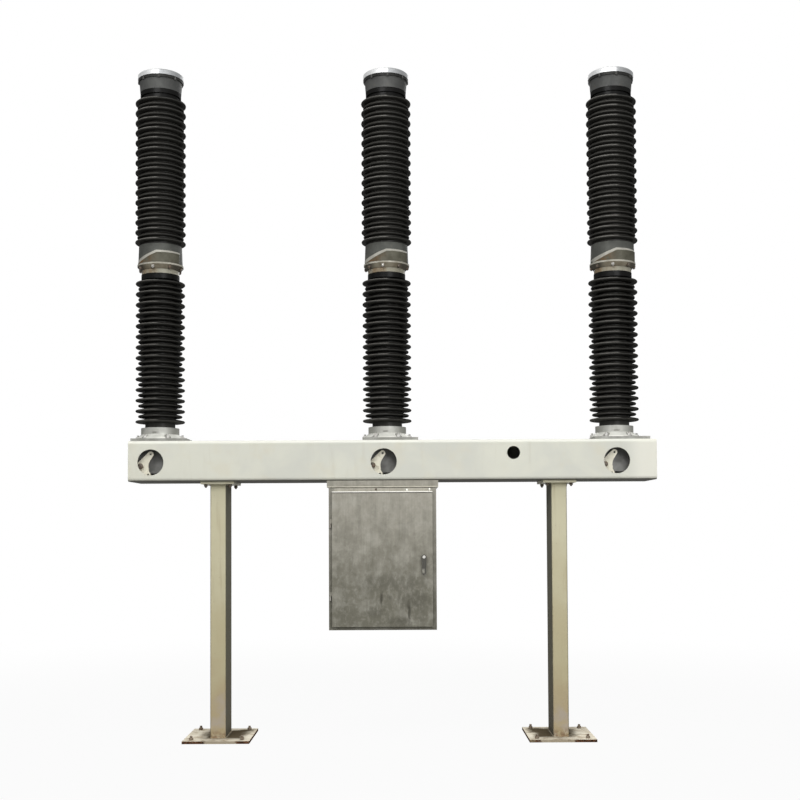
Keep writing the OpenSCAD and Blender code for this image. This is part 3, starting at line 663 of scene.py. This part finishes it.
class Build:
    """Collects turned and swept shapes into one mesh piece."""

    def __init__(self):
        self.points = []
        self.faces = []

    def rings(self, rings, place=Matrix(), closed=False):
        """Joins rings of points, each as long as the others, with quads; open stacks get end caps."""
        start = len(self.points)
        count = len(rings[0])
        for ring in rings:
            self.points += [place @ Vector(p) for p in ring]
        spans = len(rings) if closed else len(rings) - 1
        for i in range(spans):
            a = start + i * count
            b = start + (i + 1) % len(rings) * count
            for k in range(count):
                n = (k + 1) % count
                self.faces.append((a + k, a + n, b + n, b + k))
        if not closed:
            last = start + (len(rings) - 1) * count
            self.faces.append(tuple(start + k for k in reversed(range(count))))
            self.faces.append(tuple(last + k for k in range(count)))

    def turned(self, profile, place=Matrix(), sides=24, twist=0.0):
        """A solid of revolution about Z from (radius, height) pairs, the lowest first."""
        steps = [twist + 2 * math.pi * k / sides for k in range(sides)]
        self.rings([[(r * math.cos(a), r * math.sin(a), z) for a in steps] for r, z in profile], place)

    def hex_head(self, across, height, place=Matrix(), twist=0.0):
        """A hexagon head or nut with a chamfered top, its foot on the place's origin."""
        r = across / math.sqrt(3)
        profile = [(r * 0.96, 0), (r, height * 0.06), (r, height * 0.84), (r * 0.88, height)]
        self.turned(profile, place, 6, twist)

    def washer(self, radius, thickness, place=Matrix()):
        edge = thickness * 0.25
        self.turned([(radius - edge, 0), (radius, edge), (radius, thickness - edge),
                     (radius - edge, thickness)], place)

    def thread(self, radius, low, high, pitch, place=Matrix()):
        """A threaded stud end with a chamfered tip."""
        profile = [(radius, low)]
        for k in range(int((high - low) / pitch)):
            z = low + k * pitch
            crest, root = (z + pitch * 0.15, z + pitch * 0.85), z + pitch * 0.5
            profile += [(radius, crest[0]), (radius * 0.88, root), (radius, crest[1])]
        profile += [(radius * 0.86, high - pitch * 0.1), (radius * 0.7, high)]
        self.turned(profile, place, 16)

    def bead(self, path, normals, radius, ripple, ripple_share=0.18, sides=8):
        """A weld bead along a closed path; normals point away from the corner that it fills."""
        rings = []
        run = 0.0
        for i, point in enumerate(path):
            ahead = path[(i + 1) % len(path)]
            out = normals[i]
            side = (ahead - path[i - 1]).normalized().cross(out)
            r = radius * (1 + ripple_share * math.sin(2 * math.pi * run / ripple))
            run += (ahead - point).length
            steps = [2 * math.pi * k / sides for k in range(sides)]
            rings.append([point + r * (math.cos(a) * out + math.sin(a) * side) for a in steps])
        self.rings(rings, closed=True)

    def piece(self, name, finish, slot, body="frame", sharp=35):
        """Makes the collected mesh into a piece that rides on a body."""
        mesh = bpy.data.meshes.new(name)
        mesh.from_pydata(self.points, [], self.faces)
        mesh.update()
        mesh.polygons.foreach_set("use_smooth", [True] * len(mesh.polygons))
        mesh.set_sharp_from_angle(angle=math.radians(sharp))
        mesh.materials.append(finish.material)
        made = bpy.data.objects.new(name, mesh)
        bpy.context.scene.collection.objects.link(made)
        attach(made, body)


def facing(direction, at):
    """A place whose +Z runs along a direction."""
    return Matrix.Translation(at) @ direction.to_track_quat("Z", "Y").to_matrix().to_4x4()


# Finishes of the CAD nodes, by the start of each node's name

RECESS_HEIGHT = 7 * MM
# Painted shade: a dark band round the recessed foot of the hanger; above it a pale band on the hanger's
# lower edge
HANGER_SHADE_AND_EDGE_BANDS = (
    (hanger_foot - RECESS_HEIGHT, hanger_foot + RECESS_HEIGHT, (0.07, 0.06, 0.045), (0.04, 0.035, 0.027)),
    (hanger_foot + RECESS_HEIGHT, hanger_foot + 2 * RECESS_HEIGHT, (0.5, 0.48, 0.4), (0.38, 0.36, 0.3)),
)
FLANGE_TONES = ((0.085, 0.086, 0.082), (0.06, 0.061, 0.059))
FLANGE_BANDS = (
    (flange_top - RIM_HEIGHT, flange_top + RIM_HEIGHT, (0.03, 0.03, 0.028), (0.018, 0.018, 0.017)),
)
PORCELAIN = glaze()
LEG = leg_paint()

CAD_FINISHES = {
    "base_plate": plate_rust(),
    "leg": LEG,
    "head_plate": enamel("head_plate_paint", (0.62, 0.6, 0.46), (0.5, 0.47, 0.34)),
    "beam": beam_paint(),
    "cabinet": sheet_steel("cabinet_strips", 0.8),
    "cabinet_door": smeared(sheet_steel("cabinet_sheet")),
    "cabinet_roof": sheet_steel("cabinet_roof", 1.1),
    "cabinet_hanger": banded(sheet_steel("hanger_sheet", 0.95), HANGER_SHADE_AND_EDGE_BANDS),
    "cabinet_hinges": plated("hinge_steel", (0.3, 0.29, 0.26), (0.2, 0.19, 0.17), (0.4, 0.6),
                             rust_share=0.3),
    # The drip strip's near-white tone is partly a painted highlight where its edge catches the light
    "cabinet_drip_strip": plated("drip_strip", (0.85, 0.83, 0.76), (0.68, 0.66, 0.6), (0.3, 0.5), 0.3),
    "door_handle": handle_metal(),
    "crank_lever": enamel("lever_paint", (0.8, 0.77, 0.64), (0.7, 0.67, 0.55)),
    "pole_base": base_cast(),
    "support_insulator": PORCELAIN,
    "support_collar": stained_collar(),
    "terminal_housing": housing_cast(),
    "interrupter_insulator": PORCELAIN,
    "top_flange": banded(cast_metal("flange_cast", *FLANGE_TONES, 0.15), FLANGE_BANDS),
    "top_cover": lid_metal(),
}


def wear(node):
    """Gives a CAD node the finish with the longest start of its name."""
    prefix = max((start for start in CAD_FINISHES if node.startswith(start)), key=len)
    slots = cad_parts[node].data.materials
    slots.clear()
    slots.append(CAD_FINISHES[prefix].material)


for cad_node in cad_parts:
    wear(cad_node)


# Finishes of the fittings

ZINC = plated("zinc_bolt", (0.46, 0.45, 0.42), (0.3, 0.29, 0.26), (0.35, 0.55), 0.8, 0.35)
DARK_BOLT = plated("dark_bolt", (0.12, 0.1, 0.08), (0.07, 0.055, 0.04), (0.5, 0.7), 0.5, 0.5)
BLACK_BOLT = plated("black_bolt", (0.045, 0.044, 0.04), (0.025, 0.024, 0.022), (0.5, 0.7), 0.3)
RING_BOLT = plated("ring_bolt", (0.52, 0.515, 0.49), (0.38, 0.375, 0.355), (0.45, 0.6), 0.3, 0.12)
RUSTY_BOLT = plated("rusty_bolt", (0.25, 0.205, 0.155), (0.15, 0.115, 0.082), (0.6, 0.85), 0.1, 0.45)
BRIGHT_SCREW = plated("bright_screw", (0.85, 0.84, 0.8), (0.66, 0.65, 0.6), (0.3, 0.5), 0.5)
# The pad edges' pale cast tone is partly a painted highlight where the sloping edge catches the light
PAD_EDGE_HIGHLIGHT = cast_metal("pad_edge", (0.36, 0.35, 0.31), (0.27, 0.262, 0.23), 0.1)

# Nuts and washers; a bolt's size is its nut across flats, nut height, thread radius and thread reach

WASHER_SHARE = 0.62
WASHER_THICKNESS = 4 * MM
THREAD_PITCH = 4 * MM


def stud_and_nut(build, place, across, height, radius, reach):
    """A washer, a nut and the thread's end that stands out of it."""
    build.washer(across * WASHER_SHARE, WASHER_THICKNESS, place)
    build.hex_head(across, height, place @ Matrix.Translation(WASHER_THICKNESS * UP), place.translation.x)
    build.thread(radius, 0, reach, THREAD_PITCH, place)


# Anchor studs, with nut sizes across flats and in height, and welds at the legs' ends

ANCHOR_SPACING = lengths(380, 440)
ANCHOR_RADIUS = 10 * MM
ANCHOR_TOP = 52 * MM
ANCHOR_SHORTER = 2 * MM
ANCHOR_NUT = lengths(28, 13)
ANCHOR_NUT_TURN = (0.4, 0.7)
ANCHOR_WASHER = 16 * MM
WELD_RADIUS = 7 * MM
WELD_RIPPLE = 9 * MM
WELD_STEP = 3 * MM
WELD_SHARP = 80
LEG_CORNER = 14 * MM


def anchor_studs(side):
    """Studs that come up from the ground through a base plate, two of them a little shorter."""
    centre = middle(f"base_plate_{side}")
    plate_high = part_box(f"base_plate_{side}")[1].z
    anchors = Build()
    for sx in (-1, 1):
        for sy in (-1, 1):
            corner = (centre.x + sx * ANCHOR_SPACING[0] / 2, centre.y + sy * ANCHOR_SPACING[1] / 2)
            deck = Matrix.Translation((*corner, plate_high))
            twist = ANCHOR_NUT_TURN[0] * sx + ANCHOR_NUT_TURN[1] * sy
            anchors.washer(ANCHOR_WASHER, WASHER_THICKNESS, deck)
            anchors.hex_head(*ANCHOR_NUT, deck @ Matrix.Translation(WASHER_THICKNESS * UP), twist)
            stud_top = ANCHOR_TOP - plate_high - ANCHOR_SHORTER * (sx * sy > 0)
            anchors.thread(ANCHOR_RADIUS, -plate_high, stud_top, THREAD_PITCH, deck)
    anchors.piece(f"anchor_studs_{side}", RUSTY_BOLT, "rusty_steel")


def level_way(degrees):
    """A level direction."""
    a = math.radians(degrees)
    return Vector((math.cos(a), math.sin(a), 0))


def rounded_loop(centre, half, radius, step):
    """Points and outward directions round a level rectangle with round corners."""
    turns = max(int(math.pi / 2 * radius / step), 3)
    arcs = []
    for sx, sy, start in ((1, -1, -90), (1, 1, 0), (-1, 1, 90), (-1, -1, 180)):
        bend = centre + Vector((sx * (half[0] - radius), sy * (half[1] - radius), 0))
        outs = [level_way(start + 90 * k / turns) for k in range(turns + 1)]
        arcs.append([(bend + radius * out, out) for out in outs])
    loop = []
    for arc, following in zip(arcs, arcs[1:] + arcs[:1]):
        first = arc[-1][0]
        ahead, out = following[0]
        steps = int((ahead - first).length / step)
        loop += arc
        loop += [(first.lerp(ahead, k / steps), out) for k in range(1, steps)]
    return loop


def leg_welds(side):
    """Beads where a leg meets its base plate and its head plate."""
    centre = middle(f"base_plate_{side}")
    welds = Build()
    for level, tilt in ((leg_low.z, 1), (leg_high.z, -1)):
        loop = rounded_loop(Vector((centre.x, centre.y, level)), leg_half, LEG_CORNER, WELD_STEP)
        path = [point for point, out in loop]
        normals = [(out + tilt * UP).normalized() for point, out in loop]
        welds.bead(path, normals, WELD_RADIUS, WELD_RIPPLE)
    welds.piece(f"leg_welds_{side}", LEG, "leg_paint", sharp=WELD_SHARP)


# Bolts that hang under the head plates

HEAD_BOLT_INSET = lengths(34, 40)
HEAD_BOLT_SIZE = lengths(24, 14, 8, 27)


def head_bolts(side):
    """A bolt near each corner of a head plate, nut down."""
    low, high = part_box(f"head_plate_{side}")
    bolts = Build()
    for x in (low.x + HEAD_BOLT_INSET[0], high.x - HEAD_BOLT_INSET[0]):
        for y in (low.y + HEAD_BOLT_INSET[1], high.y - HEAD_BOLT_INSET[1]):
            stud_and_nut(bolts, facing(-UP, Vector((x, y, low.z))), *HEAD_BOLT_SIZE)
    bolts.piece(f"head_bolts_{side}", DARK_BOLT, "hinge_steel")


# Bolts on the poles: on the base's ring, under the housing's lip, and in the flange's rim

RING_BOLTS = 6
RING_BOLT_CIRCLE = 172 * MM
RING_BOLT_SIZE = lengths(30, 18, 9, 36)
LIP_BOLTS = 8
LIP_BOLT_TURN = 0.789
LIP_BOLT_BRIGHT = 5
LIP_BOLT_RISE = 22 * MM
LIP_BOLT_CIRCLE = 162 * MM
LIP_BOLT_SIZE = lengths(22, 14, 6.6, 24)
RIM_LUGS = 8
RIM_LUG_TURN = 0.12
RIM_LUG_CIRCLE = 165 * MM
RIM_LUG_ACROSS = 18 * MM
RIM_LUG_DROP = 6 * MM


def around(centre, radius, count, turn, level):
    """Places on a level circle, with the angle of each; turn is a share of the step between two."""
    for k in range(count):
        a = 2 * math.pi * (k + turn) / count
        yield Vector((centre.x + radius * math.cos(a), centre.y + radius * math.sin(a), level)), a


def ring_bolts(pole, axis):
    """Bolts that stand round a pole's base."""
    ring = Build()
    for at, _ in around(axis, RING_BOLT_CIRCLE, RING_BOLTS, 0, seat_top):
        stud_and_nut(ring, Matrix.Translation(at), *RING_BOLT_SIZE)
    ring.piece(f"ring_bolts_{pole}", RING_BOLT, "hinge_steel")


def lip_bolts(pole, axis):
    """Hanging bolts, of which one near the front is newer and brighter."""
    dark, bright = Build(), Build()
    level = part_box(f"terminal_housing_{pole}")[0].z + LIP_BOLT_RISE
    for k, (at, _) in enumerate(around(axis, LIP_BOLT_CIRCLE, LIP_BOLTS, LIP_BOLT_TURN, level)):
        stud_and_nut(bright if k == LIP_BOLT_BRIGHT else dark, facing(-UP, at), *LIP_BOLT_SIZE)
    dark.piece(f"lip_bolts_{pole}", DARK_BOLT, "hinge_steel")
    bright.piece(f"lip_bolt_front_{pole}", ZINC, "hinge_steel")


def rim_bolts(pole, axis):
    """Hexagon lugs set into the rim of a pole's top flange."""
    rim = Build()
    height = RIM_HEIGHT + RIM_LUG_DROP
    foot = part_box(f"top_flange_{pole}")[1].z - height
    for at, a in around(axis, RIM_LUG_CIRCLE, RIM_LUGS, RIM_LUG_TURN, foot):
        rim.hex_head(RIM_LUG_ACROSS, height, Matrix.Translation(at), a)
    rim.piece(f"rim_bolts_{pole}", BLACK_BOLT, "hinge_steel")


# The edge of each terminal pad, where the casting runs down to the housing; its pale tone is partly a
# painted highlight

PAD_LIP_RADIUS = 175.5 * MM
PAD_HEIGHT = 147 * MM
# Corners of the edge, in shares of the lip's radius and the pad's height
PAD_CORNERS = ((-0.9, 0), (0.02, 0.51), (0.9, 0.51))
PAD_RADIUS = 177 * MM
PAD_FACE = 172 * MM
HOUSING_RADII = lengths(169, 163.5)
PAD_EDGE_WIDTHS = lengths(30, 18, 16)
PAD_EDGE_LIFT = 1 * MM
PAD_EDGE_SINK = 6 * MM
PAD_EDGE_STEPS = 24


def pad_depth(x):
    """How far the pad's surface stands in front of the pole axis at a sideways place."""
    return min(PAD_FACE, math.sqrt(max(PAD_RADIUS ** 2 - x * x, 0)))


def housing_depth(x, z):
    """How far the tapered housing stands in front of the pole axis at a place beside the pad."""
    r = HOUSING_RADII[0] + (HOUSING_RADII[1] - HOUSING_RADII[0]) * z / PAD_HEIGHT
    return math.sqrt(max(r * r - x * x, 0))


def edge_ring(inner, outer):
    """Three points across the edge: on the pad, on the housing and inside it, as (x, depth, z)."""
    return ((inner.x, pad_depth(inner.x), inner.y),
            (outer.x, housing_depth(*outer) + PAD_EDGE_LIFT, outer.y),
            (inner.x, housing_depth(*inner) - PAD_EDGE_SINK, inner.y))


def pad_edge(pole, axis):
    """A sloping strip along the pad's edge, mitred at its bend."""
    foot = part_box(f"terminal_housing_{pole}")[0].z + LIP_HEIGHT
    corners = [Vector((x * PAD_LIP_RADIUS, z * PAD_HEIGHT)) for x, z in PAD_CORNERS]
    ways = [(b - a).normalized() for a, b in zip(corners, corners[1:])]
    outs = [Vector((-w.y, w.x)) for w in ways]
    bend = (outs[0] + outs[1]) / (1 + outs[0].dot(outs[1]))
    shifts = [out * width for out, width in zip((outs[0], bend, outs[1]), PAD_EDGE_WIDTHS)]
    rings = []
    for i in range(len(ways)):
        for k in range(PAD_EDGE_STEPS + (i == len(ways) - 1)):
            share = k / PAD_EDGE_STEPS
            inner = corners[i].lerp(corners[i + 1], share)
            ring = edge_ring(inner, inner + shifts[i].lerp(shifts[i + 1], share))
            rings.append([(axis.x + x, axis.y - depth, foot + z) for x, depth, z in ring])
    build = Build()
    build.rings(rings)
    build.piece(f"pad_edge_{pole}", PAD_EDGE_HIGHLIGHT, "cast_grey")


# Caps on the crank shafts' ends: place from the pole axis and the beam's foot, and a turned profile

SHAFT_OFFSET = -108 * MM
SHAFT_HEIGHT = 117.04 * MM
SHAFT_CAP = [lengths(*point) for point in ((21, 0), (21.5, 1), (21.5, 5), (18.5, 7), (6, 7.5))]


def shaft_cap(pole, axis):
    """A turned cap that rides with the crank on its shaft's front end."""
    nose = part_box(f"crank_lever_{pole}")[0].y
    cap = Build()
    cap.turned(SHAFT_CAP, facing(FRONT, Vector((axis.x + SHAFT_OFFSET, nose, beam_low.z + SHAFT_HEIGHT))))
    cap.piece(f"shaft_cap_{pole}", DARK_BOLT, "lever_paint", body=f"crank_{pole}")


# Screws on the cabinet's top strip: sideways place and height from the cabinet's top, and a turned profile

STRIP_SCREWS = {
    "strip_screws": (BRIGHT_SCREW, (lengths(107, -17), lengths(275, -12))),
    "strip_bolt": (DARK_BOLT, (lengths(-123, -11),)),
}
SCREW_HEAD = [lengths(*point) for point in ((9, 0), (9, 1.5), (7.5, 3.7), (4.4, 5), (1, 5.4))]


def strip_screws():
    """Two bright screws and a dark bolt on the strip over the door."""
    strip_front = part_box("cabinet_roof")[0].y
    for name, (finish, places) in STRIP_SCREWS.items():
        screws = Build()
        for x, rise in places:
            screws.turned(SCREW_HEAD, facing(FRONT, Vector((x, strip_front, cabinet_high.z + rise))), 16)
        screws.piece(name, finish, "cabinet_steel")


for frame_side in SIDES:
    anchor_studs(frame_side)
    leg_welds(frame_side)
    head_bolts(frame_side)
for pole_name in POLES:
    for fitting in (ring_bolts, lip_bolts, rim_bolts, pad_edge, shaft_cap):
        fitting(pole_name, middle(f"support_insulator_{pole_name}"))
strip_screws()


# Camera: place in millimetres, angles in degrees, and lengths in pixels of the 800 pixel frame

CAMERA_MM = (56, -9000, 1600)
CAMERA_PITCH = 1.904
CAMERA_ROLL = -0.281
FOCAL_PIXELS = 1173.5
FRAME_PIXELS = 800
FRAME_DROP = 88
SENSOR_WIDTH = 36


def make_camera():
    """A camera in front of the object, with a small shift that frames it."""
    data = bpy.data.cameras.new("camera")
    data.sensor_width = SENSOR_WIDTH
    data.lens = FOCAL_PIXELS * SENSOR_WIDTH / FRAME_PIXELS
    data.shift_y = FRAME_DROP / FRAME_PIXELS
    made = bpy.data.objects.new("camera", data)
    made.location = Vector(CAMERA_MM) * MM
    tilt = Matrix.Rotation(math.pi / 2 + math.radians(CAMERA_PITCH), 3, "X")
    made.rotation_euler = (tilt @ Matrix.Rotation(math.radians(CAMERA_ROLL), 3, "Z")).to_euler()
    bpy.context.scene.collection.objects.link(made)
    bpy.context.scene.camera = made


# Light and stage: places and sizes in metres, and power in watts

LIGHTS = {
    "key": ((-3.4, -9.6, 9.4), (6.0, 5.0), 740),
    "fill": ((4.2, -10.5, 5.0), (6.0, 4.0), 560),
    "top": ((0.0, -3.6, 10.5), (8.0, 4.0), 380),
    "back": ((2.5, 9.0, 7.0), (7.0, 5.0), 450),
}
AMBIENT = 0.17
FLOOR_HALF = 60.0
FLOOR_FADE = (3.0, 9.0)
FLOOR_GLOW = 0.95
FLOOR_TONE = (0.3, 0.3, 0.295, 1)
WHITE = (1, 1, 1, 1)


def area_light(name, at, size, watts):
    """A rectangular light that points at the object's middle."""
    data = bpy.data.lights.new(name, "AREA")
    data.shape = "RECTANGLE"
    data.size, data.size_y = size
    data.energy = watts
    made = bpy.data.objects.new(name, data)
    made.location = at
    way = (CAD_LOW + CAD_HIGH) / 2 - Vector(at)
    made.rotation_euler = way.to_track_quat("-Z", "Y").to_euler()
    bpy.context.scene.collection.objects.link(made)


def seen_ray(tree):
    """1 for camera, glossy and transmission rays, and 0 for the rest."""
    path = tree.nodes.new("ShaderNodeLightPath")
    total = path.outputs["Is Camera Ray"]
    for ray in ("Is Glossy Ray", "Is Transmission Ray"):
        either = tree.nodes.new("ShaderNodeMath")
        either.operation = "MAXIMUM"
        tree.links.new(total, either.inputs[0])
        tree.links.new(path.outputs[ray], either.inputs[1])
        total = either.outputs[0]
    return total


def make_world():
    """A white background that lights the object only a little."""
    world = bpy.data.worlds.new("studio")
    world.use_nodes = True
    tree = world.node_tree
    background = tree.nodes["Background"]
    background.inputs["Color"].default_value = WHITE
    strength = tree.nodes.new("ShaderNodeMapRange")
    tree.links.new(seen_ray(tree), strength.inputs["Value"])
    strength.inputs["To Min"].default_value = AMBIENT
    strength.inputs["To Max"].default_value = 1.0
    tree.links.new(strength.outputs["Result"], background.inputs["Strength"])
    bpy.context.scene.world = world


def make_floor():
    """A pale floor that keeps a faint shadow near the object and runs into the white further off."""
    mesh = bpy.data.meshes.new("floor")
    corners = [(sx * FLOOR_HALF, sy * FLOOR_HALF, 0) for sx, sy in ((-1, -1), (1, -1), (1, 1), (-1, 1))]
    mesh.from_pydata(corners, [], [(0, 1, 2, 3)])
    made = bpy.data.objects.new("floor", mesh)
    bpy.context.scene.collection.objects.link(made)
    f = Finish("floor", Roughness=0.9, Specular_IOR_Level=0.0)
    f.colour(FLOOR_TONE)
    length = f.node("ShaderNodeVectorMath", operation="LENGTH")
    f.feed(length.inputs[0], f.place)
    share = f.fade(length.outputs["Value"], *FLOOR_FADE, FLOOR_GLOW, 1.0)
    light = f.node("ShaderNodeEmission")
    light.inputs["Color"].default_value = WHITE
    blend = f.node("ShaderNodeMixShader")
    f.feed(blend.inputs[0], f.overlap(share, seen_ray(f.tree)))
    f.feed(blend.inputs[1], f.bsdf.outputs[0])
    f.feed(blend.inputs[2], light.outputs[0])
    f.feed(f.tree.nodes["Material Output"].inputs["Surface"], blend.outputs[0])
    mesh.materials.append(f.material)


make_camera()
make_world()
make_floor()
for light_name, (light_place, light_size, light_watts) in LIGHTS.items():
    area_light(light_name, light_place, light_size, light_watts)
bpy.context.scene.view_settings.view_transform = "Standard"
